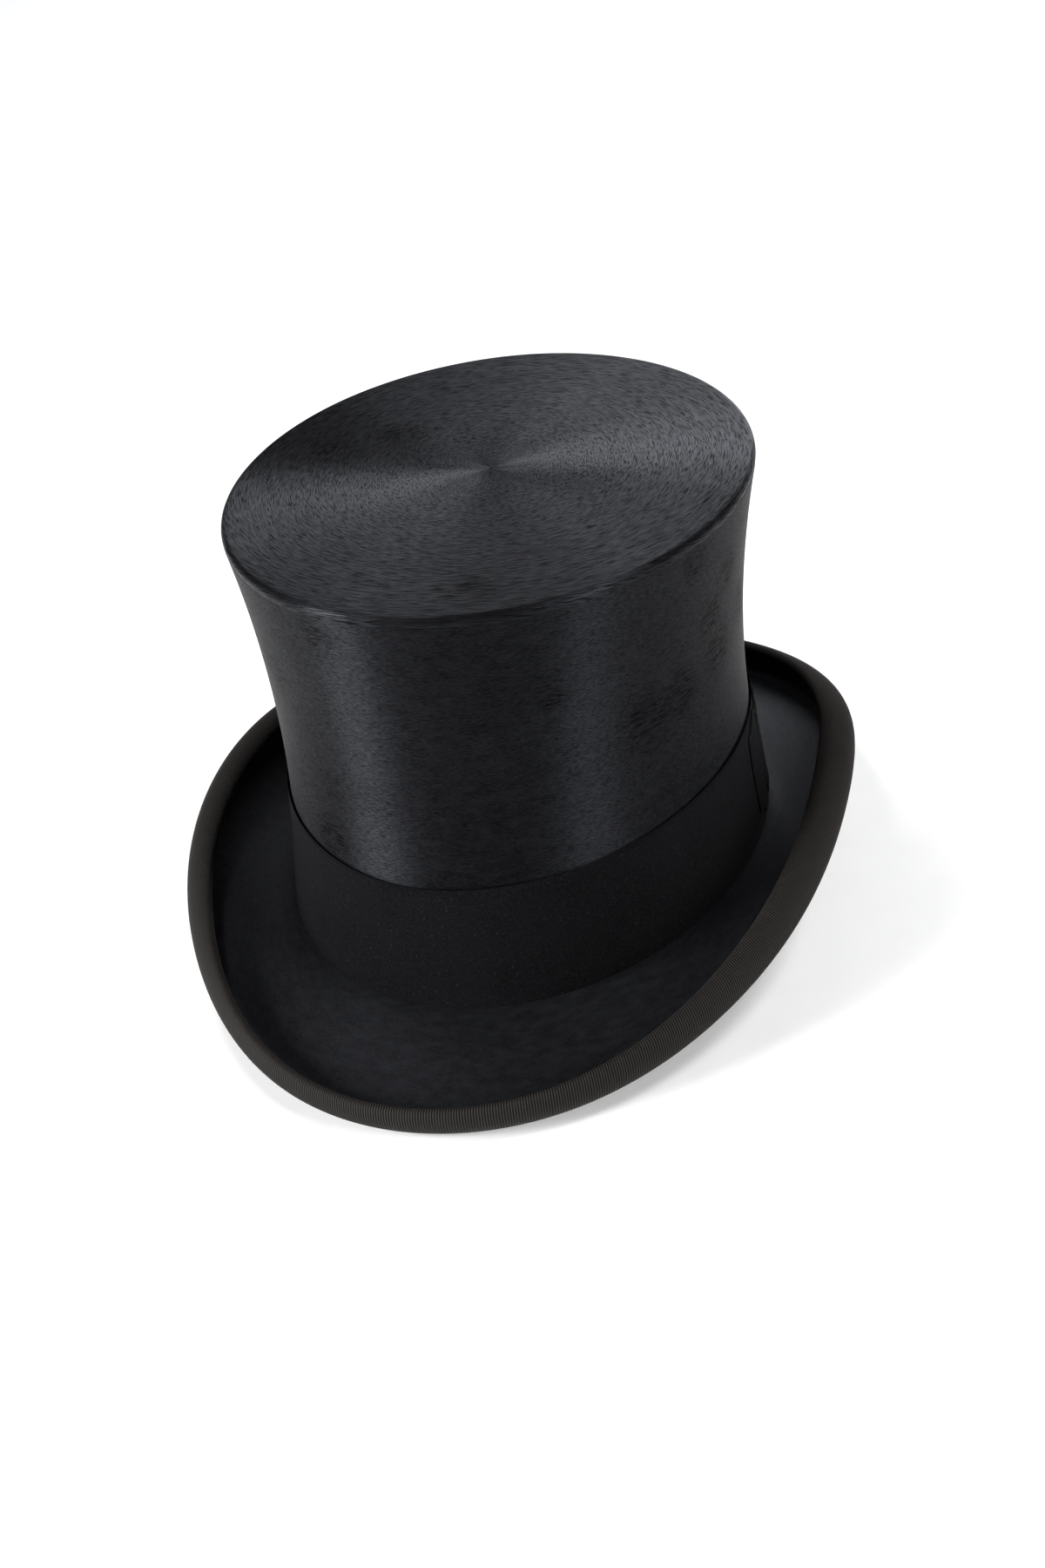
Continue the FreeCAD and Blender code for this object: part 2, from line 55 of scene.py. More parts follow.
HALF_WIDTHS = (83.3, 79.9, 89.4)  # of the crown at its seat, waist and tip
HALF_LENGTHS = (106.7, 98.7, 103.1)
CROWN_HEIGHT = 141.0
SADDLE_RISE = 1.9  # of the brim's seat at the sides
PLUSH = 0.8
SHELL = 1.8
LINING = 0.3
GAP = 0.05
TIP_PLUSH = 1.0
TIP_EDGE_RADIUS = 2.6
TIP_SEAM_DROP = 3.6
BAND_HEIGHT = 42.2
BAND = 0.9
BOW_LENGTH = 44.0
BOW_CENTRE = 27.0
BOW_THICKNESS = 1.4
BOW_HALF_HEIGHT = 19.0
KEEPER_LENGTH = 11.0
SWEATBAND_HEIGHT = 46.0
SWEATBAND = 1.1
SWEATBAND_DROP = 1.5
SEAM_TAPE_WIDTH = 14.0
SEAM_TAPE_LENGTH = 43.0
SEAM_TAPE_FOOT = 1.0
SEAM_TAPE = 0.4
SEAM_SLIT = 0.6
REED_CASING_RADIUS = 1.4
PIPING_RADIUS = 0.7
PIPING_PLIES = 3
PIPING_TWISTS = 150
STITCHES = 114
STITCH_LENGTH = 2.4
STITCH_RADIUS = 0.25
STITCH_HEIGHT = 2.2
SMALL_BOW_LENGTH = 26.0
SMALL_BOW_HALF_HEIGHT = 5.0
SMALL_BOW_HEIGHT = 10.0
COVER = 0.6  # thickness of the cloth on the brim's faces
RIBBON = 0.5
SEAT_WIDTH = 12.0  # over which the brim eases into its slope
BINDING_OUTER = 23.0  # width of the ribbon on the brim's outer skin
BINDING_INNER = 9.0
BRIM_DEPTH = SHELL + 2 * COVER + 2 * RIBBON
LINING_INSET = PLUSH + SHELL + LINING
SWEATBAND_INSET = LINING_INSET + SEAM_TAPE + 2 * GAP
TIP_LINING_LEVEL = CROWN_HEIGHT - TIP_PLUSH - SHELL - LINING

# The brim's section at its front, front quarter, side, back quarter and back.
LEAVE_SLOPE = (-6.7, 4.7, 13.1, -5.3, -20.8)
RISE_SLOPE = (-26.2, -16.5, 46.0, 9.6, -16.5)
RUN = (44.9, 33.6, 38.3, 35.5, 46.1)
CURL_RADIUS = (8.6, 8.0, 7.4, 8.0, 8.6)
CURL_ANGLE = (119.0, 171.0, 231.0, 197.0, 155.0)

RIBS = 960  # ribs of the grosgrain round the brim
SAMPLES_PER_RIB = 4
AROUND = 720  # rows round the hat in its smooth pieces
PATH_STEPS = 120
RIB_HEIGHT = 0.13
THREADS = 4.0  # of the ribbon, in a millimetre

HAIR_LENGTH = 7.0  # the streaks in the nap
HAIR_WIDTH = 0.42
SWIRL_CENTRE = (0.0, 4.0)  # where the tip's nap turns
SWIRL_EYE = 9.0  # radius of its ruffled middle, dulled and painted darker as shade

# Scuffed places on the wall, dulled and painted darker as shade: degrees round from the wearer's left,
# height and radius.
WALL_SCUFFS = ((-37, 83, 15), (-27, 85, 13), (-12, 88, 15), (4, 95, 14), (-110, 130, 10),
               (-120, 49, 12), (-133, 105, 12), (-60, 106, 8), (128, 84, 16), (75, 60, 13),
               (-9, 116, 11), (-16, 105, 11), (-24, 131, 10))
# Scuffed places on the tip, dulled and painted darker as shade: across, along and radius.
TIP_SCUFFS = ((*SWIRL_CENTRE, SWIRL_EYE), (-62, 14, 17), (-40, 30, 13), (84, -18, 12), (20, -82, 14))

seat_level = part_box("tip_plush")[1].z / MM - CROWN_HEIGHT


# -------------------- outline of the hat

def half_axes(height, inset):
    """Half-axes of the crown's oval at a height, inset from the plush's outer face."""
    up = height / CROWN_HEIGHT
    shares = ((1 - up) * (1 - 2 * up), 4 * up * (1 - up), up * (2 * up - 1))
    half_width = sum(size * share for size, share in zip(HALF_WIDTHS, shares))
    half_length = sum(size * share for size, share in zip(HALF_LENGTHS, shares))
    return half_width - inset, half_length - inset


def saddle(angle):
    return SADDLE_RISE * np.cos(2 * angle)


def crown(angle, height, inset):
    """Points of the crown's wall; a negative inset lies outside the plush."""
    half_width, half_length = half_axes(height, inset)
    return stack(half_width * np.cos(angle), half_length * np.sin(angle), height)


def stack(x, y, z):
    return np.stack(np.broadcast_arrays(x, y, z), axis=-1)


def unit(vectors):
    """The same directions, each with a length of 1."""
    return vectors / np.maximum(np.linalg.norm(vectors, axis=-1, keepdims=True), 1e-9)


def seat_point(angle, outward, height):
    """A point in the plane that stands square to the oval inside the crown's shell."""
    half_width, half_length = half_axes(0.0, PLUSH + SHELL)
    slant_x, slant_y = np.cos(angle) / half_width, np.sin(angle) / half_length
    length = np.hypot(slant_x, slant_y)
    return stack(half_width * np.cos(angle) + outward * slant_x / length,
                 half_length * np.sin(angle) + outward * slant_y / length, height)


def around(values, angle):
    """Blend a size given at front, front quarter, side, back quarter and back."""
    front, front_quarter, side, back_quarter, back = values
    quarter_swing = (back_quarter - front_quarter) / math.sqrt(2)
    end_swing = (back - front) / 2
    end_mean = (front + back) / 2
    mean = (end_mean + side + front_quarter + back_quarter) / 4
    fourth = mean - (front_quarter + back_quarter) / 2
    return (mean + (quarter_swing + end_swing) / 2 * np.sin(angle)
            + (side - end_mean) / 2 * np.cos(2 * angle)
            + (quarter_swing - end_swing) / 2 * np.sin(3 * angle) + fourth * np.cos(4 * angle))


def smooth(share):
    share = np.clip(share, 0, 1)
    return share * share * (3 - 2 * share)


def ridge(distance, height, width):
    """A smooth ridge, by the distance from its crest."""
    return height * np.exp(-(distance / width) ** 2)


class Brim:
    """The brim's outer skin at each of these angles, followed from the crown to the rolled edge."""

    def __init__(self, angles):
        self.angles = angles[:, None]
        self.leave = around(LEAVE_SLOPE, self.angles)
        self.rise = around(RISE_SLOPE, self.angles)
        self.run = around(RUN, self.angles)
        self.radius = around(CURL_RADIUS, self.angles)
        curl = np.radians(around(CURL_ANGLE, self.angles) - self.rise)
        self.length = self.run + self.radius * curl
        self.step = self.length / PATH_STEPS
        slope = self.slope((np.arange(PATH_STEPS) + 0.5) * self.step)
        start = saddle(self.angles) - BRIM_DEPTH + RIBBON
        nothing = np.zeros_like(start)
        self.outward = np.hstack([nothing, np.cumsum(self.step * np.cos(slope), axis=1)])
        self.up = np.hstack([nothing, np.cumsum(self.step * np.sin(slope), axis=1)]) + start

    def slope(self, distance):
        ease = smooth(distance / SEAT_WIDTH)
        rising = np.radians(self.leave + (self.rise - self.leave) * distance / self.run) * ease
        curling = np.radians(self.rise) + (distance - self.run) / self.radius
        return np.where(distance > self.run, curling, rising)

    def point(self, distance, depth):
        """Points at a depth under the skin, towards the top face of the brim."""
        number = np.clip((distance / self.step).astype(int), 0, PATH_STEPS - 1)
        share = distance / self.step - number
        slope = self.slope(distance)

        def along(path):
            low = np.take_along_axis(path, number, axis=1)
            return low + (np.take_along_axis(path, number + 1, axis=1) - low) * share

        return seat_point(self.angles, along(self.outward) - depth * np.sin(slope),
                          along(self.up) + depth * np.cos(slope))

    def edge_end(self):
        """Where the layers stop and the ribbon turns over them."""
        return self.length - BRIM_DEPTH / 2


def wander(angle, height, size, seed):
    """A gentle unevenness that closes round the hat, made of a few waves."""
    waves = 9
    pick = np.random.default_rng(seed)
    total = 0
    for _ in range(waves):
        turns = pick.integers(1, 9)
        rate = pick.uniform(-0.08, 0.08)
        total = total + np.cos(turns * angle + rate * height + pick.uniform(0, TURN))
    return size * total / math.sqrt(waves)


# -------------------- meshes

def lift(points):
    """Millimetres from the crown's seat to metres in the row frame."""
    return (np.asarray(points) + np.array([0, 0, seat_level])) * MM


def loft(name, rows, ring, nap=None):
    """Join closed loops, one in each row, into a mesh; a ring also joins its last row to its first.
    The UV map runs along the loop and along the rows, in metres."""
    if not ring:
        rows = np.concatenate([pinch(rows[:1]), rows, pinch(rows[-1:])])
    count, points = rows.shape[:2]
    spans = count if ring else count - 1
    row, column = np.meshgrid(np.arange(spans), np.arange(points), indexing="ij")
    next_row, next_column = (row + 1) % count, (column + 1) % points
    quads = np.stack([row * points + column, next_row * points + column,
                      next_row * points + next_column, row * points + next_column], axis=-1)
    along_rows = mean_steps(rows, 0)
    along_loop = mean_steps(rows, 1)
    u = np.stack([along_loop[column], along_loop[column],
                  along_loop[column + 1], along_loop[column + 1]], axis=-1)
    v = np.stack([along_rows[row], along_rows[row + 1],
                  along_rows[row + 1], along_rows[row]], axis=-1)
    thing = mesh_object(name, lift(rows).reshape(-1, 3), quads.reshape(-1, 4),
                        np.stack([u, v], axis=-1).reshape(-1, 2) * MM, nap)
    if not ring:
        weld(thing.data)
    return thing


def weld(mesh):
    """Join the two sides of each pinched end."""
    work = bmesh.new()
    work.from_mesh(mesh)
    bmesh.ops.remove_doubles(work, verts=work.verts, dist=1e-7)
    work.to_mesh(mesh)
    work.free()


def mean_steps(rows, axis):
    """Mean distance travelled along the rows or the loops, from 0."""
    steps = np.linalg.norm(np.roll(rows, -1, axis=axis) - rows, axis=2).mean(axis=1 - axis)
    return np.concatenate([[0], np.cumsum(steps)])


def pinch(row):
    """Close a loop's end on the line halfway through its thickness."""
    return (row + row[:, ::-1]) / 2


def new_object(name, data):
    thing = bpy.data.objects.new(name, data)
    bpy.context.scene.collection.objects.link(thing)
    return thing


def mesh_object(name, points, quads, uv, nap=None):
    """A mesh of four-sided faces, with its UV map and the nap's own coordinates."""
    mesh = bpy.data.meshes.new(name)
    mesh.vertices.add(len(points))
    mesh.vertices.foreach_set("co", points.astype(np.float32).ravel())
    mesh.loops.add(quads.size)
    mesh.loops.foreach_set("vertex_index", quads.astype(np.int32).ravel())
    mesh.polygons.add(len(quads))
    mesh.polygons.foreach_set("loop_start", np.arange(0, quads.size, 4, dtype=np.int32))
    mesh.uv_layers.new(name="UVMap").uv.foreach_set("vector", uv.astype(np.float32).ravel())
    if nap is not None:
        field = mesh.attributes.new("nap", "FLOAT_VECTOR", "POINT")
        field.data.foreach_set("vector", nap.astype(np.float32).ravel())
    mesh.update(calc_edges=True)
    mesh.validate()
    mesh.shade_smooth()
    return new_object(name, mesh)


def thick(front, back):
    """Closed loops from a front face and a back face, each (rows, points, 3), with round edges.
    A loop close to each edge of the front keeps its shading flat up to the edge."""
    close = 0.1

    def edge(end, before, other):
        middle = (end + other) / 2
        gap = np.linalg.norm(end - other, axis=-1, keepdims=True)
        return (middle + unit(end - before) * gap / 2)[:, None]

    far = edge(front[:, -1], front[:, -2], back[:, -1])
    near = edge(front[:, 0], front[:, 1], back[:, 0])
    first = front[:, :1] * (1 - close) + front[:, 1:2] * close
    last = front[:, -1:] * (1 - close) + front[:, -2:-1] * close
    return np.concatenate([front[:, :1], first, front[:, 1:-1], last, front[:, -1:], far,
                           back[:, ::-1], near], axis=1)


def sheet_loops(middle, thickness):
    """Closed loops round a sheet whose middle surface is (rows, points, 3)."""
    normal = unit(np.cross(np.gradient(middle, axis=1), np.gradient(middle, axis=0)))
    return thick(middle + normal * thickness / 2, middle - normal * thickness / 2)


def tube_rows(path, radii):
    """Loops round a path of points (n, 3), with their radii as (n, points in a loop)."""
    ahead = unit(np.gradient(path, axis=0))
    side = unit(np.cross(ahead, UPWARD))
    up = np.cross(side, ahead)
    swing = angles_round(radii.shape[1])[None, :, None]
    return path[:, None] + radii[..., None] * (side[:, None] * np.cos(swing)
                                               + up[:, None] * np.sin(swing))


def angles_round(count):
    return TURN * np.arange(count) / count


def attach(thing, material, node):
    """Give a piece its material and its body, and hide the CAD node it stands for."""
    thing.data.materials.append(material)
    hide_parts(node)
    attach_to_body(thing, "root")


# -------------------- material tools

class Shader:
    """A Principled material and short calls for the nodes that feed it."""

    def __init__(self, name, **values):
        self.material = bpy.data.materials.new(name)
        self.material.use_nodes = True
        self.tree = self.material.node_tree
        self.main = self.tree.nodes["Principled BSDF"]
        for socket, value in values.items():
            self.main.inputs[socket.replace("_", " ")].default_value = value

    def node(self, kind, inputs=None, **settings):
        made = self.tree.nodes.new(kind)
        for name, value in settings.items():
            setattr(made, name, value)
        for socket, value in (inputs or {}).items():
            if isinstance(value, bpy.types.NodeSocket):
                self.tree.links.new(value, made.inputs[socket])
            else:
                made.inputs[socket].default_value = value
        return made

    def nap(self):
        return self.node("ShaderNodeAttribute", attribute_name="nap").outputs["Vector"]

    def coordinates(self, scale=(1, 1, 1), source="Object"):
        start = self.nap() if source == "nap" else self.node("ShaderNodeTexCoord").outputs[source]
        return self.node("ShaderNodeMapping", {"Vector": start, "Scale": scale}).outputs["Vector"]

    def part(self, vector, axis):
        return self.node("ShaderNodeSeparateXYZ", {"Vector": vector}).outputs[axis]

    def noise(self, vector, scale, detail=2.0, roughness=0.5, distortion=0.0):
        return self.node("ShaderNodeTexNoise",
                         {"Vector": vector, "Scale": scale, "Detail": detail,
                          "Roughness": roughness, "Distortion": distortion}).outputs["Fac"]

    def waves(self, vector, scale, distortion, detail=2.0, **direction):
        """Soft parallel bands."""
        inputs = {"Vector": vector, "Scale": scale, "Distortion": distortion, "Detail": detail}
        return self.node("ShaderNodeTexWave", inputs, wave_type="BANDS", **direction).outputs["Fac"]

    def ramp(self, value, *stops):
        """Stops are (place, colour) with a colour of one number or three."""
        made = self.node("ShaderNodeValToRGB", {"Fac": value})
        elements = made.color_ramp.elements
        while len(elements) < len(stops):
            elements.new(0.5)
        for element, (place, colour) in zip(elements, stops):
            element.position = place
            element.color = (*colour, 1) if hasattr(colour, "__len__") else (colour,) * 3 + (1,)
        return made.outputs["Color"]

    def math(self, operation, first, second=0.0):
        return self.node("ShaderNodeMath", {0: first, 1: second}, operation=operation).outputs[0]

    def spread(self, value, low, high, to_low, to_high):
        """Carry a value from one range to another and keep it inside."""
        return self.node("ShaderNodeMapRange",
                         {"Value": value, "From Min": low, "From Max": high, "To Min": to_low,
                          "To Max": to_high}).outputs["Result"]

    def near(self, places):
        """1 at any of the places and 0 beyond its radius; places are (x, y, z, radius)."""
        core = 0.35
        here = self.coordinates()
        nearest = None
        for *spot, radius in places:
            gap = self.node("ShaderNodeVectorMath", {0: here, 1: spot},
                            operation="DISTANCE").outputs["Value"]
            close = self.spread(gap, radius * core, radius, 1.0, 0.0)
            nearest = close if nearest is None else self.math("MAXIMUM", nearest, close)
        return nearest

    def blend(self, share, *colours):
        """Mix two colours by a share; the node keeps them in its sockets 6 and 7."""
        first, second = (colour if isinstance(colour, bpy.types.NodeSocket) else (*colour, 1)
                         for colour in colours)
        inputs = {0: share, 6: first, 7: second}
        return self.node("ShaderNodeMix", inputs, data_type="RGBA").outputs[2]

    def feed(self, socket, value):
        self.tree.links.new(value, self.main.inputs[socket])

    def bump(self, *layers):
        """Layers are (height, strength, distance), from coarse to fine."""
        normal = None
        for height, strength, distance in layers:
            inputs = {"Height": height, "Strength": strength, "Distance": distance}
            if normal is not None:
                inputs["Normal"] = normal
            normal = self.node("ShaderNodeBump", inputs).outputs["Normal"]
        self.feed("Normal", normal)

    def hairs_along_rows(self):
        """Stretch the gloss across hairs that lie along the rows of the piece."""
        tangent = self.node("ShaderNodeTangent", direction_type="UV_MAP", uv_map="UVMap")
        self.feed("Tangent", tangent.outputs["Tangent"])


# -------------------- materials

PLUSH_PAINTED_SHADE = np.array((0.0010, 0.0010, 0.0013))  # painted shade between the hairs and in the scuffs, the hairs' own tone, and a paler streak
PLUSH_MID = np.array((0.0040, 0.0040, 0.0048))
PLUSH_PALE = np.array((0.0050, 0.0051, 0.0060))
SCUFF_GLOSS = 0.12  # a scuff's share of the gloss around it
STANDING_SHEEN = 0.035  # of the hairs that stand out over an edge
STANDING_DEPTH = 0.003  # in metres, over which they set in


def silk_plush(name, gloss, stretch, roughness, combing, fineness, scuffs=(), shade=1.0, sheen=0.0,
               stands_below=None):
    """Brushed silk pile: fine hairs along the rows, soft streaks and a few scuffed places, whose gloss
    is dulled and whose colour is painted darker as shade.
    Combing is how far the gloss differs from hair to hair, and fineness how many times finer the
    hairs of a short pile are. Hairs stand out below a given height, in metres."""
    shader = Shader(name, Anisotropic=stretch, Sheen_Weight=sheen, Sheen_Roughness=0.35,
                    Sheen_Tint=(0.80, 0.85, 1.0, 1), Specular_Tint=(0.84, 0.89, 1.0, 1))

    def pile(along, across, *shape):
        """Noise that changes at one rate along the hairs and at another across them."""
        return shader.noise(shader.coordinates((along, along, across), "nap"), 1.0, *shape)

    fine = pile(fineness ** 2, fineness, 3.0, 0.6)
    streaks = pile(0.5 * fineness, 0.16, 3.0, 0.55)
    clouds = pile(0.1, 0.012, 2.0)
    clumps = shader.ramp(pile(1.3, 1.7, 1.0, 0.5, 0.4), (0.53, 0.0), (0.60, 1.0))
    sparse = shader.ramp(clouds, (0.58, 0.0), (0.72, 0.35))
    if scuffs:
        sparse = shader.math("MAXIMUM", sparse, shader.near(scuffs))
    # Scuffs and ruffled clumps: their gloss is dulled by wear, and their colour is painted darker as
    # shade.
    wear_and_painted_shade = shader.math("MULTIPLY", shader.math("ADD", clumps, 0.10), sparse)
    dark, mid, pale = (tuple(shade * tone) for tone in (PLUSH_PAINTED_SHADE, PLUSH_MID, PLUSH_PALE))
    # Darker between the hairs: painted shade.
    base = shader.ramp(fine, (0.30, dark), (0.72, mid))
    soft = shader.blend(shader.ramp(streaks, (0.35, 0.0), (0.70, 1.0)), base, pale)
    shader.feed("Base Color", shader.blend(wear_and_painted_shade, soft, dark))
    combed = shader.spread(fine, 0.40, 0.60, gloss * (1 - combing), gloss * (1 + combing))
    dulled = shader.spread(wear_and_painted_shade, 0, 1, 1.0, SCUFF_GLOSS)
    shader.feed("Specular IOR Level", shader.math("MULTIPLY", combed, dulled))
    shader.feed("Roughness", shader.spread(clouds, 0, 1, *roughness))
    if stands_below:
        height = shader.part(shader.coordinates(), "Z")
        shader.feed("Sheen Weight", shader.spread(height, stands_below - STANDING_DEPTH,
                                                  stands_below, STANDING_SHEEN, 0.0))
    shader.bump((clouds, 0.25, 0.0012), (streaks, 0.30 / fineness ** 2, 0.00025),
                (fine, 0.70, 0.00016 / fineness))
    shader.hairs_along_rows()
    return shader.material


def merino_cloth():
    """Dull felted wool with short tangled fibres and a few paler specks."""
    shader = Shader("merino_cloth", Roughness=0.92, Specular_IOR_Level=0.04, Sheen_Weight=0.015,
                    Sheen_Roughness=0.6, Sheen_Tint=(0.9, 0.93, 1.0, 1))
    felt = shader.noise(shader.coordinates(), 1300.0, 4.0, 0.7)
    tangle = shader.noise(shader.coordinates((1, 1, 2.4)), 520.0, 4.0, 0.6, 1.6)
    cloud = shader.noise(shader.coordinates(), 45.0, 3.0)
    specks = shader.ramp(shader.noise(shader.coordinates(), 1500.0, 1.0),
                         (0.70, 0.0), (0.76, 1.0))
    base = shader.ramp(felt, (0.36, (0.0004, 0.0004, 0.0005)), (0.66, (0.0044, 0.0044, 0.0052)))
    mottled = shader.blend(shader.ramp(cloud, (0.35, 0.0), (0.75, 0.5)), base,
                           (0.0037, 0.0037, 0.0043))
    shader.feed("Base Color", shader.blend(shader.math("MULTIPLY", specks, 0.6), mottled,
                                           (0.026, 0.026, 0.028)))
    shader.bump((tangle, 0.50, 0.00025), (felt, 0.75, 0.00022))
    return shader.material


def grosgrain():
    """Ribbed ribbon: the ribs are in the mesh, with painted shade in their hollows and paler crests,
    and the fine threads between them are here.
    """
    shader = Shader("grosgrain", Specular_IOR_Level=0.10, Sheen_Weight=0.012, Sheen_Roughness=0.5,
                    Sheen_Tint=(1.0, 0.95, 0.9, 1))
    crest = shader.ramp(shader.part(shader.nap(), "X"), (0.40, 0.0), (0.95, 1.0))
    across = shader.node("ShaderNodeCombineXYZ", {"X": shader.part(shader.nap(), "Y")})
    threads = shader.waves(across.outputs["Vector"], 1.0, 0.6, 1.0)
    dust = shader.noise(shader.coordinates(), 260.0, 4.0, 0.6)
    # Painted shade: near black in the hollows between the ribs, paler on their crests.
    shaded_hollows = shader.blend(crest, (0.0008, 0.0007, 0.0006), (0.0310, 0.0272, 0.0245))
    shader.feed("Base Color", shader.blend(shader.ramp(dust, (0.45, 0.0), (0.80, 0.20)), shaded_hollows,
                                           (0.0270, 0.0240, 0.0220)))
    shader.feed("Roughness", shader.spread(dust, 0, 1, 0.50, 0.72))
    shader.bump((dust, 0.25, 0.00010), (threads, 0.35, 0.00005))
    return shader.material


def leather():
    """Smooth tan skin with fine pores, faint creases and a darker worn edge."""
    shader = Shader("sweatband_leather", Specular_IOR_Level=0.45, Coat_Weight=0.08,
                    Coat_Roughness=0.3)
    pores = shader.node("ShaderNodeTexVoronoi", {"Vector": shader.coordinates(), "Scale": 1500.0},
                        feature="F1").outputs["Distance"]
    creases = shader.noise(shader.coordinates((1, 1, 2.5)), 210.0, 5.0, 0.65, 0.8)
    stain = shader.noise(shader.coordinates(), 28.0, 4.0, 0.6)
    top = (seat_level + SWEATBAND_HEIGHT) * MM
    edge = shader.spread(shader.part(shader.coordinates(), "Z"), top - 0.006, top, 0, 1)
    tan = shader.ramp(stain, (0.30, (0.34, 0.185, 0.092)), (0.75, (0.50, 0.300, 0.165)))
    worn = shader.blend(shader.math("MULTIPLY", edge, 0.45), tan, (0.20, 0.098, 0.045))
    shader.feed("Base Color", shader.blend(shader.ramp(creases, (0.52, 0.0), (0.64, 0.3)), worn,
                                           (0.26, 0.135, 0.065)))
    shader.feed("Roughness", shader.spread(creases, 0, 1, 0.36, 0.56))
    shader.bump((creases, 0.35, 0.00020), (pores, 0.30, 0.00010))
    return shader.material


def satin(name, low, high):
    """Warp-faced silk with fine parallel threads and a soft directional gloss."""
    shader = Shader(name, Anisotropic=0.55, Specular_IOR_Level=0.5, Sheen_Weight=0.15,
                    Sheen_Roughness=0.4)
    threads = shader.noise(shader.coordinates((260, 5200, 260), "UV"), 1.0, 2.0)
    slubs = shader.noise(shader.coordinates((40, 900, 40), "UV"), 1.0, 3.0, 0.6)
    age = shader.noise(shader.coordinates(), 22.0, 4.0, 0.6)
    colour = shader.ramp(age, (0.30, low), (0.72, high))
    shader.feed("Base Color", shader.blend(shader.ramp(threads, (0.35, 0.35), (0.65, 0.0)),
                                           colour, tuple(part * 0.72 for part in low)))
    shader.feed("Roughness", shader.spread(slubs, 0, 1, 0.30, 0.46))
    shader.bump((slubs, 0.20, 0.00012), (threads, 0.30, 0.00006))
    shader.hairs_along_rows()
    return shader.material


def woven(name, dark, light, pitch, roughness, **values):
    """Plain weave of round threads at a pitch in metres."""
    shader = Shader(name, Roughness=roughness, **values)
    place = shader.coordinates((1 / pitch, 1 / pitch, 1 / pitch), "UV")
    warp, weft = (shader.math("SINE", shader.math("MULTIPLY", shader.part(place, axis), math.pi))
                  for axis in "XY")
    crossing = shader.math("ABSOLUTE", shader.math("MULTIPLY", warp, weft))
    fluff = shader.noise(shader.coordinates(), 600.0, 4.0, 0.6)
    # Darker in the gaps between the threads: painted shade.
    colour = shader.ramp(crossing, (0.0, dark), (0.8, light))
    shader.feed("Base Color", shader.blend(shader.ramp(fluff, (0.45, 0.0), (0.75, 0.3)), colour,
                                           dark))
    shader.bump((fluff, 0.2, 0.0001), (crossing, 0.6, pitch * 0.25))
    return shader.material


def goss():
    """Calico stiffened with shellac: an open weave under a brown, uneven gloss."""
    shader = Shader("shellacked_goss", Specular_IOR_Level=0.5, Coat_Weight=0.4,
                    Coat_Roughness=0.25)
    around_weave, up_weave = (shader.waves(shader.coordinates(), 320.0, 0.8, bands_direction=way)
                              for way in ("DIAGONAL", "Z"))
    weave = shader.math("MULTIPLY", around_weave, up_weave)
    pools = shader.noise(shader.coordinates(), 60.0, 4.0, 0.6)
    colour = shader.ramp(pools, (0.30, (0.20, 0.100, 0.040)), (0.75, (0.42, 0.250, 0.120)))
    shader.feed("Base Color", shader.blend(shader.math("MULTIPLY", weave, 0.4), colour,
                                           (0.50, 0.34, 0.18)))
    shader.feed("Roughness", shader.spread(pools, 0, 1, 0.28, 0.50))
    shader.bump((pools, 0.2, 0.0004), (weave, 0.5, 0.0002))
    return shader.material


def grained(name, low, high, scale, roughness, **values):
    """Mottled matt stuff with a fine bump: oilcloth, reed and sewing thread."""
    shader = Shader(name, Roughness=roughness, **values)
    coarse = shader.noise(shader.coordinates(), scale, 4.0, 0.6)
    fine = shader.noise(shader.coordinates(), scale * 6, 3.0, 0.6)
    shader.feed("Base Color", shader.ramp(coarse, (0.30, low), (0.72, high)))
    shader.bump((coarse, 0.3, 0.0002), (fine, 0.3, 0.00008))
    return shader.material


# -------------------- crown

def level_nap(points, across):
    """Where each point lies in the nap: in hair lengths by its place, in hair widths across."""
    return stack(points[..., 0] / HAIR_LENGTH, points[..., 1] / HAIR_LENGTH, across / HAIR_WIDTH)


def side_plush(material):
    """The pile cloth round the crown, lying from the brim up to the tip's seam."""
    angle = angles_round(AROUND)[:, None]
    seam = CROWN_HEIGHT - TIP_SEAM_DROP
    share = np.linspace(0, 1, 150)[None, :]
    height = saddle(angle) * (1 - share) + seam * share
    uneven = wander(angle, height, 0.10, 3)
    front = crown(angle, height, -uneven)
    back = crown(angle, height, PLUSH)[:, ::10]
    rows = thick(front, back)
    piece = loft("side_plush_nap", rows, True, level_nap(rows, rows[..., 2]))
    attach(piece, material, "side_plush")


def tip_outline(angle, turn, shrink=0.0):
    """The tip's rounded edge; turn runs from 0 at the wall to a quarter turn on the flat."""
    height = CROWN_HEIGHT - (TIP_EDGE_RADIUS - shrink) * (1 - np.sin(turn)) - shrink
    half_width, half_length = half_axes(height, 0)
    inset = shrink + (TIP_EDGE_RADIUS - shrink) * (1 - np.cos(turn))
    return stack((half_width - inset) * np.cos(angle), (half_length - inset) * np.sin(angle), height)


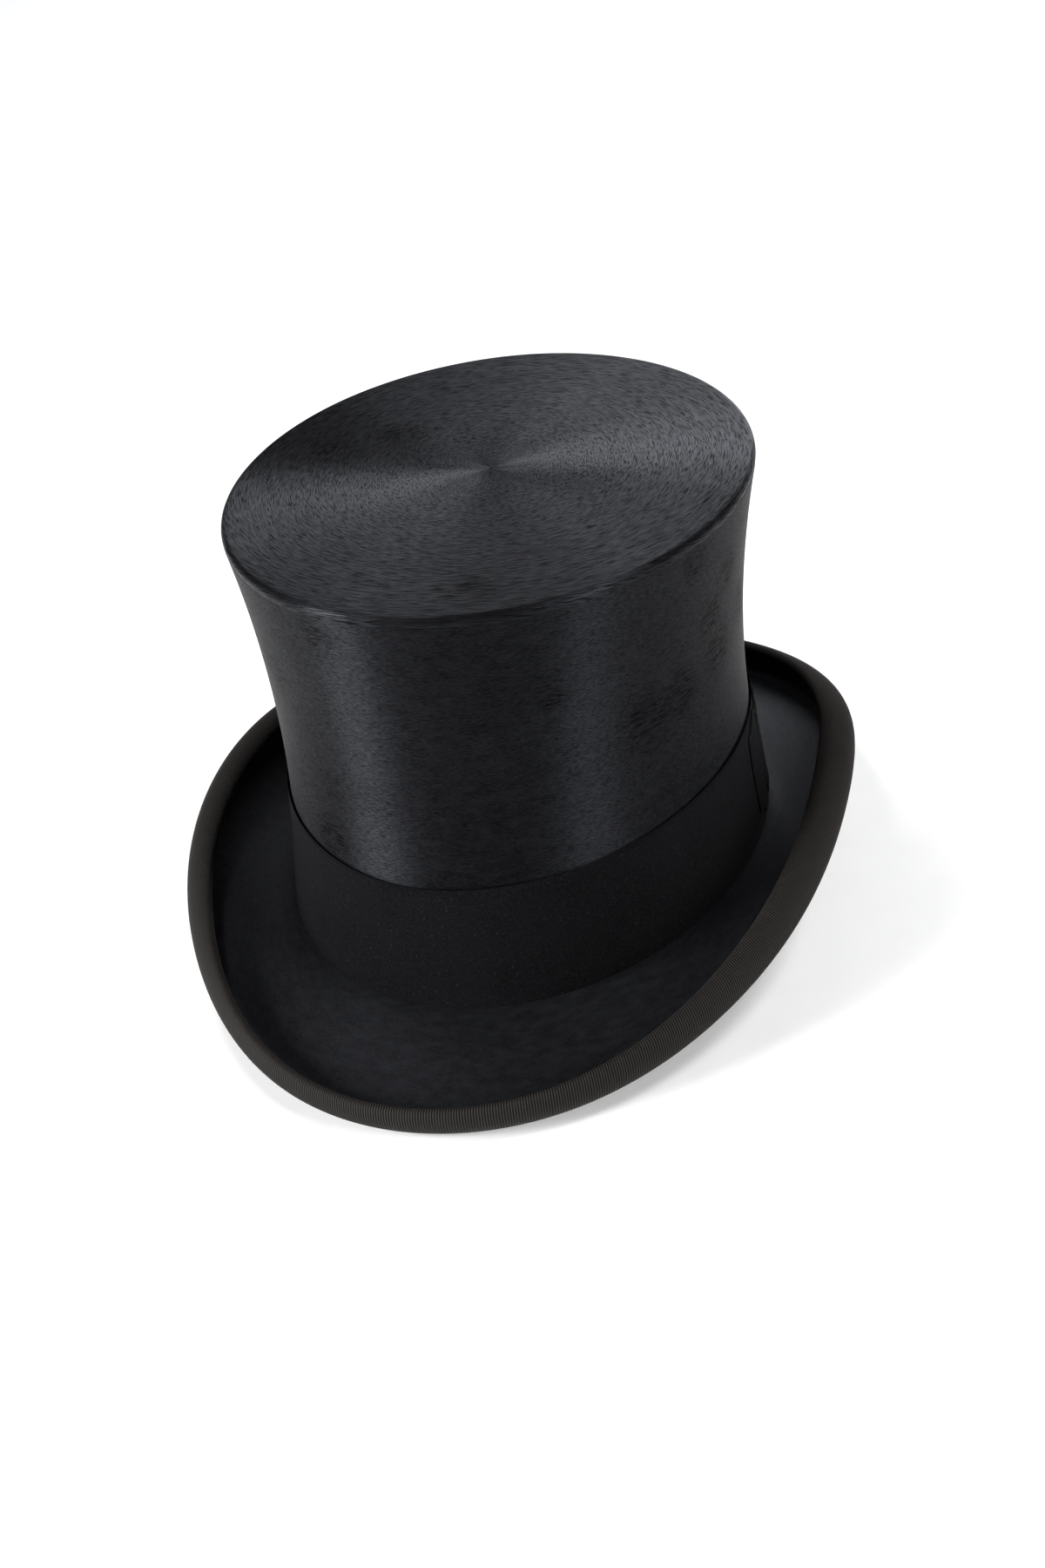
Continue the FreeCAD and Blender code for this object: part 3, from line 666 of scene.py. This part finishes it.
def tip_plush(material):
    """The pile cloth over the tip, brushed round a swirl and turned down to its seam."""
    angle = angles_round(AROUND)[:, None]
    eye = np.array([*SWIRL_CENTRE, 0.0])

    def face(shrink, flats, turns):
        edge = tip_outline(angle, np.linspace(math.pi / 2, 0, turns)[None, :], shrink)
        rim = edge[:, :1]
        share = np.linspace(0.002, 1, flats, endpoint=False)[None, :, None]
        flat = eye * (1 - share) + rim * share
        flat[..., 2] = rim[..., 2]
        seam = crown(angle, np.full_like(angle, CROWN_HEIGHT - TIP_SEAM_DROP), shrink)
        return np.concatenate([flat, edge, seam], axis=1)

    front = face(0.0, 120, 12)
    front[..., 2] -= 0.10 + wander(angle, np.linspace(0, 90, front.shape[1])[None], 0.04, 5)
    rows = thick(front, face(TIP_PLUSH, 12, 5))
    away = rows - eye
    turn = np.arctan2(away[..., 1], away[..., 0])
    across = np.hypot(away[..., 0], away[..., 1]) + (CROWN_HEIGHT - rows[..., 2])
    circle = 60.0 / HAIR_LENGTH
    nap = stack(np.cos(turn) * circle, np.sin(turn) * circle, across / HAIR_WIDTH)
    piece = loft("tip_plush_nap", rows, True, nap)
    attach(piece, material, "tip_plush")


def hat_band(material):
    """The cloth band, its edges folded under, with its join beneath the bow."""
    angle = angles_round(AROUND)[:, None]
    share = np.linspace(0, 1, 40)[None, :]
    height = saddle(angle) + BAND_HEIGHT * share + wander(angle, 0, 0.10, 7) * share
    fold = ridge((share - 0.96) * BAND_HEIGHT, 0.22, 1.3)
    front = crown(angle, height, -BAND + fold - wander(angle, height * 3, 0.05, 8))
    rows = thick(front, crown(angle, height, 0.0)[:, ::8])
    piece = loft("hat_band_cloth", rows, True)
    attach(piece, material, "hat_band")


def bow_place(spread, height, outward):
    """A point on the wearer's left, with spread in millimetres along the band from the bow's middle."""
    middle = math.asin(BOW_CENTRE / HALF_LENGTHS[0])
    speed = math.hypot(HALF_WIDTHS[0] * math.sin(middle), HALF_LENGTHS[0] * math.cos(middle))
    angle = middle + spread / speed
    return crown(angle, height + BAND_HEIGHT / 2 + saddle(angle), -BAND - GAP - outward)


def small_bow_place(spread, height, outward):
    """A point on the inside of the back, with spread along the sweatband."""
    speed = half_axes(0, SWEATBAND_INSET)[0]
    angle = math.pi / 2 + spread / speed
    return crown(angle, height + SMALL_BOW_HEIGHT + saddle(angle),
                 SWEATBAND_INSET + SWEATBAND + GAP + outward)


def bow_loop(name, place, reach, half_height, bulge, cloth):
    """One flat loop of a bow: out along the back, round its end and back over the front."""
    out = (1 - np.cos(np.linspace(0, TURN / 2, 34))) / 2
    spread = np.concatenate([out, out[-2::-1]])[:, None]
    back_layer = np.full_like(out, cloth * 0.6)
    front_layer = cloth * (0.6 + 1.4 * (1 - out)) + bulge * out ** 0.6 * np.sqrt(1 - out)
    outward = np.concatenate([back_layer, front_layer[-2::-1]])[:, None]
    across = np.linspace(-1, 1, 27)[None, :]
    tall = half_height * (0.80 + 0.20 * np.sin(math.pi * np.clip(spread, 0.12, 1) ** 0.8) ** 2)
    pressed = 0.25 + 0.75 * (1 - np.abs(across) ** 3)
    lifted = cloth * 0.6 + (outward - cloth * 0.6) * pressed
    middle = place(reach * spread, tall * across, lifted)
    return loft(name, sheet_loops(middle, cloth), False)


def bow_keeper(name, place, half_width, half_height, outward, cloth):
    """The strip that holds a bow, wrapped over its top and bottom edges."""
    turn = np.linspace(-1, 1, 41)
    height = half_height * np.sign(turn) * (1 - (1 - np.abs(turn)) ** 2.2)
    lifted = outward * (1 - np.abs(turn) ** 10)
    spread = np.linspace(-half_width, half_width, 15)[:, None]
    crowned = 1 - 0.12 * (spread / half_width) ** 4
    middle = place(spread, height[None, :], lifted[None, :] * crowned + cloth * 0.6)
    return loft(name, sheet_loops(middle, cloth), False)


def band_bow(material):
    """The flat bow over the band's join, on the wearer's left."""
    cloth = 0.4
    for name, side in (("band_bow_front_loop", -1), ("band_bow_back_loop", 1)):
        loop = bow_loop(name, bow_place, side * BOW_LENGTH / 2, BOW_HALF_HEIGHT,
                        BOW_THICKNESS * 0.5, cloth)
        attach(loop, material, "band_bow")
    keeper = bow_keeper("band_bow_keeper_strip", bow_place, KEEPER_LENGTH / 2,
                        BOW_HALF_HEIGHT * 0.86, 0.8, cloth)
    attach(keeper, material, "band_bow_keeper")


# -------------------- brim

def brim_cover(name, low, high, start, node, material, plush):
    """A cloth over one face of the brim, from the crown to under the ribbon."""
    brim = Brim(angles_round(AROUND))
    share = np.linspace(0, 1, 90)[None, :]
    distance = start + (brim.edge_end() - start) * share
    uneven = wander(brim.angles, distance, 0.06, 11)
    if plush:
        front = brim.point(distance, high - 0.05 + uneven)
        back = brim.point(distance, low)[:, ::9]
    else:
        front = brim.point(distance, low + uneven * 0.5)
        back = brim.point(distance, high)[:, ::9]
    rows = thick(front, back)
    piece = loft(name, rows, True, level_nap(rows, mean_steps(rows, 1)[:-1]))
    attach(piece, material, node)


def even_angles(count):
    """Angles that divide the brim's edge into equal lengths."""
    coarse = angles_round(2048)
    brim = Brim(coarse)
    travelled = mean_steps(brim.point(brim.edge_end(), BRIM_DEPTH / 2), 0)
    wanted = travelled[-1] * np.arange(count) / count
    return np.interp(wanted, travelled, np.append(coarse, TURN)), float(travelled[-1])


def edge_binding(material):
    """The ribbed ribbon over the brim's rolled edge, a real rib at a time."""
    angles, girth = even_angles(RIBS * SAMPLES_PER_RIB)
    brim = Brim(angles)
    rim = brim.edge_end()
    wave = np.cos(TURN * np.arange(len(angles)) / SAMPLES_PER_RIB)[:, None]
    slack = wander(brim.angles, 0, 0.35, 13)

    def face(start, depth, count, raised):
        share = np.linspace(0, 1, count)[None, :]
        distance = start + (rim - start) * share
        return brim.point(distance, depth + raised)

    def turn(radius, count):
        centre = brim.point(rim, BRIM_DEPTH / 2)
        ahead = unit(centre - brim.point(rim - brim.step, BRIM_DEPTH / 2))
        down = unit(brim.point(rim, 0) - centre)
        swing = np.linspace(0, math.pi, count + 2)[None, 1:-1, None]
        return centre + radius[..., None] * (down * np.cos(swing) + ahead * np.sin(swing))

    ribs = RIB_HEIGHT * (wave - 1)
    outer_start = brim.length - BINDING_OUTER + slack
    inner_start = brim.length - BINDING_INNER + wander(brim.angles, 0, 0.25, 17)
    skin = face(outer_start, 0.0, 16, -ribs)
    over = turn(BRIM_DEPTH / 2 + ribs, 7)
    inside = face(inner_start, BRIM_DEPTH, 9, ribs)[:, ::-1]
    front = np.concatenate([skin, over, inside], axis=1)
    under = face(outer_start, RIBBON, 5, 0.0)
    upper = face(inner_start, BRIM_DEPTH - RIBBON, 3, 0.0)[:, ::-1]
    rows = thick(front, np.concatenate([under, upper], axis=1))
    # Its first value, the rib's crest, sets the painted shade in the hollows.
    weave = stack((wave + 1) / 2, mean_steps(rows, 1)[:-1] * THREADS, 0.0)
    piece = loft("edge_binding_ribbon", rows, True, weave)
    attach(piece, material, "edge_binding")


# -------------------- inside the crown

def side_lining(material):
    """Satin round the inside, with soft upright puckers below the piping."""
    angle = angles_round(AROUND)[:, None]
    share = np.linspace(0, 1, 60)[None, :]
    top = TIP_LINING_LEVEL - GAP
    height = saddle(angle) * (1 - share) + top * share
    puckers = 0.28 * (np.cos(47 * angle + 1.3 * np.sin(3 * angle)) + 0.6 * np.cos(83 * angle + 1.0))
    soft = 0.35 + puckers * smooth((share - 0.35) / 0.5) * smooth((1 - share) / 0.03)
    front = crown(angle, height, LINING_INSET + np.maximum(soft, 0.0) * smooth((1 - share) / 0.03)
                  * smooth((share - 0.36) / 0.1))
    back = crown(angle, height, LINING_INSET - LINING)[:, ::6]
    piece = loft("side_lining_satin", thick(front, back), True)
    attach(piece, material, "side_lining")


def tip_lining(material):
    """Satin under the tip, eased in at its edge with small radial gathers."""
    angle = angles_round(AROUND)[:, None]
    half_width, half_length = half_axes(TIP_LINING_LEVEL, PLUSH + SHELL + GAP)
    share = np.linspace(0.004, 1, 60)[None, :]
    gathers = 0.22 * np.cos(62 * angle + 2 * np.sin(2 * angle)) * smooth((share - 0.55) / 0.4)
    level = TIP_LINING_LEVEL - 0.35 - gathers - wander(angle, share * 40, 0.12, 21)

    def face(height, points):
        return stack(half_width * np.cos(angle) * points, half_length * np.sin(angle) * points,
                     height)

    front = face(level, share)
    back = face(np.full_like(angle, TIP_LINING_LEVEL + LINING), share[:, ::6])
    piece = loft("tip_lining_satin", thick(front, back), True)
    attach(piece, material, "tip_lining")


def piping(material):
    """A cord of twisted plies round the inside of the crown."""
    angle = angles_round(AROUND * 2)
    level = TIP_LINING_LEVEL - PIPING_RADIUS - GAP
    inset = LINING_INSET + PIPING_RADIUS + 3 * GAP
    half_width, half_length = half_axes(level, inset)
    centre = crown(angle, level, inset)
    out = unit(stack(np.cos(angle) / half_width, np.sin(angle) / half_length, 0.0))
    swing = angles_round(16)[None, :]
    radii = PIPING_RADIUS * lobes(PIPING_PLIES / 2 * (swing + PIPING_TWISTS * angle[:, None]))
    ring = out[:, None] * np.cos(swing)[..., None] + UPWARD * np.sin(swing)[..., None]
    cord = loft("lining_piping_cord", centre[:, None] + ring * radii[..., None], True)
    attach(cord, material, "lining_piping")


def lobes(turn):
    """How far the plies of a twisted cord stand out, as a share of its radius."""
    return 0.86 + 0.14 * np.abs(np.cos(turn))


def sweatband(material):
    """The leather band, open at the back, with a rolled top edge and a pressed line under it."""
    slit = SEAM_SLIT / 2 / half_axes(0, SWEATBAND_INSET)[0]
    angle = np.linspace(math.pi / 2 + slit, math.pi / 2 + TURN - slit, AROUND)[:, None]
    share = np.linspace(0, 1, 90)[None, :]
    low = saddle(angle) - SWEATBAND_DROP
    height = low + (SWEATBAND_HEIGHT + SWEATBAND_DROP) * share
    from_top = SWEATBAND_HEIGHT + saddle(angle) - height
    pressed = sum(ridge(from_top - line, 0.16, 0.35) for line in (3.2, 4.4))
    rolled = ridge(from_top, 0.22, 0.9)
    face = SWEATBAND_INSET + SWEATBAND - pressed + rolled + wander(angle, height * 2, 0.08, 23)
    front = crown(angle, height, face)
    back = crown(angle, height, SWEATBAND_INSET)[:, ::9]
    piece = loft("sweatband_skin", thick(front, back), False)
    attach(piece, material, "sweatband")


def seam_tape(material):
    """The cotton tape behind the sweatband's join."""
    half = SEAM_TAPE_WIDTH / 2 / half_axes(0, SWEATBAND_INSET)[0]
    angle = np.linspace(math.pi / 2 - half, math.pi / 2 + half, 30)[:, None]
    height = np.linspace(SEAM_TAPE_FOOT, SEAM_TAPE_FOOT + SEAM_TAPE_LENGTH, 60)[None, :]
    face = SWEATBAND_INSET - GAP
    rows = thick(crown(angle, height, face), crown(angle, height, face - SEAM_TAPE))
    piece = loft("seam_tape_cloth", rows, False)
    attach(piece, material, "sweatband_seam_tape")


def reed_casing(material):
    """The oilcloth sleeve round the reed, with the ridge of its fold."""
    angle = angles_round(AROUND)
    drop = SWEATBAND_DROP + REED_CASING_RADIUS + 2 * GAP
    centre = seat_point(angle, -REED_CASING_RADIUS - 2 * GAP, saddle(angle) - drop)
    swing = angles_round(20)
    out = seat_point(angle, 1.0, 0.0) - seat_point(angle, 0.0, 0.0)
    folded = 0.95 + ridge(swing - 1.2, 0.05, 0.25)
    ring = out[:, None] * np.cos(swing)[:, None] + UPWARD * np.sin(swing)[:, None]
    rows = centre[:, None] + ring * (REED_CASING_RADIUS * folded)[:, None]
    piece = loft("reed_casing_sleeve", rows, True)
    attach(piece, material, "reed_casing")


def stitching(material):
    """Running stitches of two-ply thread that dip into the leather at both ends."""
    inset = SWEATBAND_INSET + SWEATBAND + GAP + STITCH_RADIUS
    half_width, half_length = half_axes(STITCH_HEIGHT, inset)
    along = np.linspace(-1, 1, 13)
    rows = []
    for number in range(STITCHES):
        middle = TURN * (number + 0.5) / STITCHES
        speed = math.hypot(half_width * math.sin(middle), half_length * math.cos(middle))
        angle = middle + along * STITCH_LENGTH / 2 / speed
        dip = 0.45 * np.abs(along) ** 4
        path = crown(angle, STITCH_HEIGHT + saddle(angle) + 0.08 * along, inset - dip)
        rows.append(tube_rows(path, STITCH_RADIUS * lobes(angles_round(8) + 7 * along[:, None])))
    joined = join_tubes("sweatband_stitches", rows)
    attach(joined, material, "sweatband_stitching")


def join_tubes(name, tubes):
    """Many short open tubes of the same size in one mesh."""
    tubes = np.asarray(tubes)
    count, rows, points = tubes.shape[:3]
    tube, row, column = np.meshgrid(np.arange(count), np.arange(rows - 1), np.arange(points),
                                    indexing="ij")
    first = tube * rows * points + row * points
    after = (column + 1) % points
    quads = np.stack([first + column, first + points + column,
                      first + points + after, first + after], axis=-1).reshape(-1, 4)
    uv = np.stack([quads % points / points, quads // points % rows / rows], axis=-1)
    return mesh_object(name, lift(tubes).reshape(-1, 3), quads, uv.reshape(-1, 2))


def small_bow(material):
    """The ribbon bow that marks the back of the sweatband."""
    cloth = 0.25
    for name, side in (("sweatband_bow_left_loop", 1), ("sweatband_bow_right_loop", -1)):
        loop = bow_loop(name, small_bow_place, side * SMALL_BOW_LENGTH / 2,
                        SMALL_BOW_HALF_HEIGHT, 3.4, cloth)
        attach(loop, material, "sweatband_bow")
    knot = bow_keeper("sweatband_bow_knot", small_bow_place, 2.0, SMALL_BOW_HALF_HEIGHT * 0.8,
                      1.6, cloth)
    attach(knot, material, "sweatband_bow")


# -------------------- stage

def stage_material():
    shader = Shader("paper_floor", Roughness=0.8, Specular_IOR_Level=0.1,
                    Emission_Color=(1, 1, 1, 1), Emission_Strength=0.22)
    fibres = shader.noise(shader.coordinates(), 90.0, 4.0)
    shader.feed("Base Color", shader.ramp(fibres, (0.3, 0.80), (0.7, 0.84)))
    return shader.material


def floor():
    """A wide floor just under the brim's dips, so that no faces coincide."""
    width, drop = 12, 0.0002
    bpy.ops.mesh.primitive_plane_add(size=width, location=(0, 0, -drop))
    ground = bpy.context.active_object
    ground.name = "floor"
    ground.data.materials.append(stage_material())


LAMP_DISTANCE = 1.7
NEUTRAL, COOL = (1, 1, 1), (0.90, 0.92, 1)
# Name, degrees round from the wearer's left, degrees up, size in metres, watts and colour.
LAMPS = (("left_panel", 219, 16, (0.7, 1), 60, NEUTRAL),
         ("right_panel", -24, 16, (0.45, 1), 23, NEUTRAL),
         ("back_panel", 95, 16, (1, 0.8), 9.4, COOL),
         ("high_panel", 150, 65, (0.3, 0.3), 7, NEUTRAL),
         ("side_panel", 8, 58, (0.5, 0.5), 15, NEUTRAL))


def soft_light(name, azimuth, elevation, size, power, colour):
    """A large soft light that looks at the middle of the crown."""
    turn, rise = math.radians(azimuth), math.radians(elevation)
    lamp = bpy.data.lights.new(name, "AREA")
    lamp.shape = "RECTANGLE"
    lamp.size, lamp.size_y = size
    lamp.energy = power
    lamp.color = colour
    thing = new_object(name, lamp)
    target = Vector((0, 0, (seat_level + CROWN_HEIGHT / 2) * MM))
    away = Vector((math.cos(turn) * math.cos(rise), math.sin(turn) * math.cos(rise),
                   math.sin(rise)))
    thing.location = target + away * LAMP_DISTANCE
    thing.rotation_euler = away.to_track_quat("Z", "Y").to_euler()


def light():
    """Two low panels light the wall's bands, one behind lights the tip, and the rest fill in."""
    world = bpy.data.worlds.new("studio")
    bpy.context.scene.world = world
    bpy.context.scene.view_settings.view_transform = "Standard"
    world.use_nodes = True
    background = world.node_tree.nodes["Background"]
    background.inputs["Color"].default_value = (1, 1, 1, 1)
    background.inputs["Strength"].default_value = 0.05
    for lamp in LAMPS:
        soft_light(*lamp)


def camera():
    """Looks down on the hat's front and its left side, at the photograph's angle."""
    azimuth, elevation, roll = (math.radians(turn) for turn in (19.495, 31.06, 7.391))
    distance, aim_right, aim_up = 1.0, 0.004064, -0.015471
    right = Vector((math.cos(azimuth), math.sin(azimuth), 0))
    back = Vector((math.sin(azimuth) * math.cos(elevation),
                   -math.cos(azimuth) * math.cos(elevation), math.sin(elevation)))
    up = back.cross(right)
    rolled_right = right * math.cos(roll) - up * math.sin(roll)
    rolled_up = right * math.sin(roll) + up * math.cos(roll)
    lens = bpy.data.cameras.new("camera")
    lens.sensor_width = 36
    lens.lens = 63.48
    lens.clip_start = 0.05
    lens.clip_end = 50
    thing = new_object("camera", lens)
    seat = Vector((0, 0, seat_level * MM))
    spot = seat + back * distance - rolled_right * aim_right - rolled_up * aim_up
    turned = Matrix((rolled_right, rolled_up, back)).transposed().to_4x4()
    thing.matrix_world = Matrix.Translation(spot) @ turned
    bpy.context.scene.camera = thing


# -------------------- the whole hat

def dress_cad(node, material):
    """A CAD node that keeps its own shape gets a finished material."""
    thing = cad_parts[node]
    thing.data.materials.clear()
    thing.data.materials.append(material)


def wall_spot(degrees, height):
    return crown(math.radians(degrees), height, 0.0)


def tip_spot(across, along):
    return across, along, CROWN_HEIGHT


def scuffed(places, spot):
    """Scuffs as (x, y, z, radius) in metres; spot finds a point from a place's first two values."""
    return [(*lift(spot(first, second)), radius * MM) for first, second, radius in places]


def build():
    felt, stiffening = merino_cloth(), goss()
    wall_plush = silk_plush("wall_plush", 0.10, 0.95, (0.43, 0.53), combing=0.6, fineness=2.0,
                            scuffs=scuffed(WALL_SCUFFS, wall_spot))
    under_the_tip = (seat_level + CROWN_HEIGHT - 0.3) * MM
    tip_pile = silk_plush("tip_plush", 0.10, 0.95, (0.34, 0.43), combing=0.9, fineness=1.4,
                          scuffs=scuffed(TIP_SCUFFS, tip_spot), stands_below=under_the_tip)
    brim_plush = silk_plush("brim_plush", 0.09, 0.35, (0.52, 0.60), combing=0.30, fineness=2.6,
                            shade=1.4, sheen=0.012)
    ivory = satin("lining_satin", (0.60, 0.54, 0.43), (0.80, 0.76, 0.66))
    black = satin("bow_satin", (0.012, 0.012, 0.013), (0.035, 0.035, 0.038))
    side_plush(wall_plush)
    tip_plush(tip_pile)
    hat_band(felt)
    band_bow(felt)
    cover_low = RIBBON + COVER + SHELL
    brim_cover("brim_top_cover_nap", cover_low, cover_low + COVER, SHELL,
               "brim_top_cover", brim_plush, True)
    brim_cover("brim_under_cloth", RIBBON, RIBBON + COVER, 0.0,
               "brim_under_cover", felt, False)
    edge_binding(grosgrain())
    side_lining(ivory)
    tip_lining(ivory)
    piping(ivory)
    sweatband(leather())
    seam_tape(woven("tape_cloth", (0.40, 0.31, 0.20), (0.66, 0.55, 0.38), 0.00045, 0.85,
                    Specular_IOR_Level=0.2))
    reed_casing(grained("oilcloth", (0.018, 0.016, 0.014), (0.055, 0.050, 0.044), 500.0, 0.42))
    stitching(grained("thread", (0.46, 0.39, 0.27), (0.70, 0.62, 0.47), 900.0, 0.7,
                      Specular_IOR_Level=0.3))
    small_bow(black)
    dress_cad("sweatband_reed", grained("reed", (0.52, 0.42, 0.24), (0.74, 0.64, 0.42), 300.0, 0.5))
    for node in ("crown_shell", "tip_shell", "brim_shell"):
        dress_cad(node, stiffening)


build()
floor()
light()
camera()
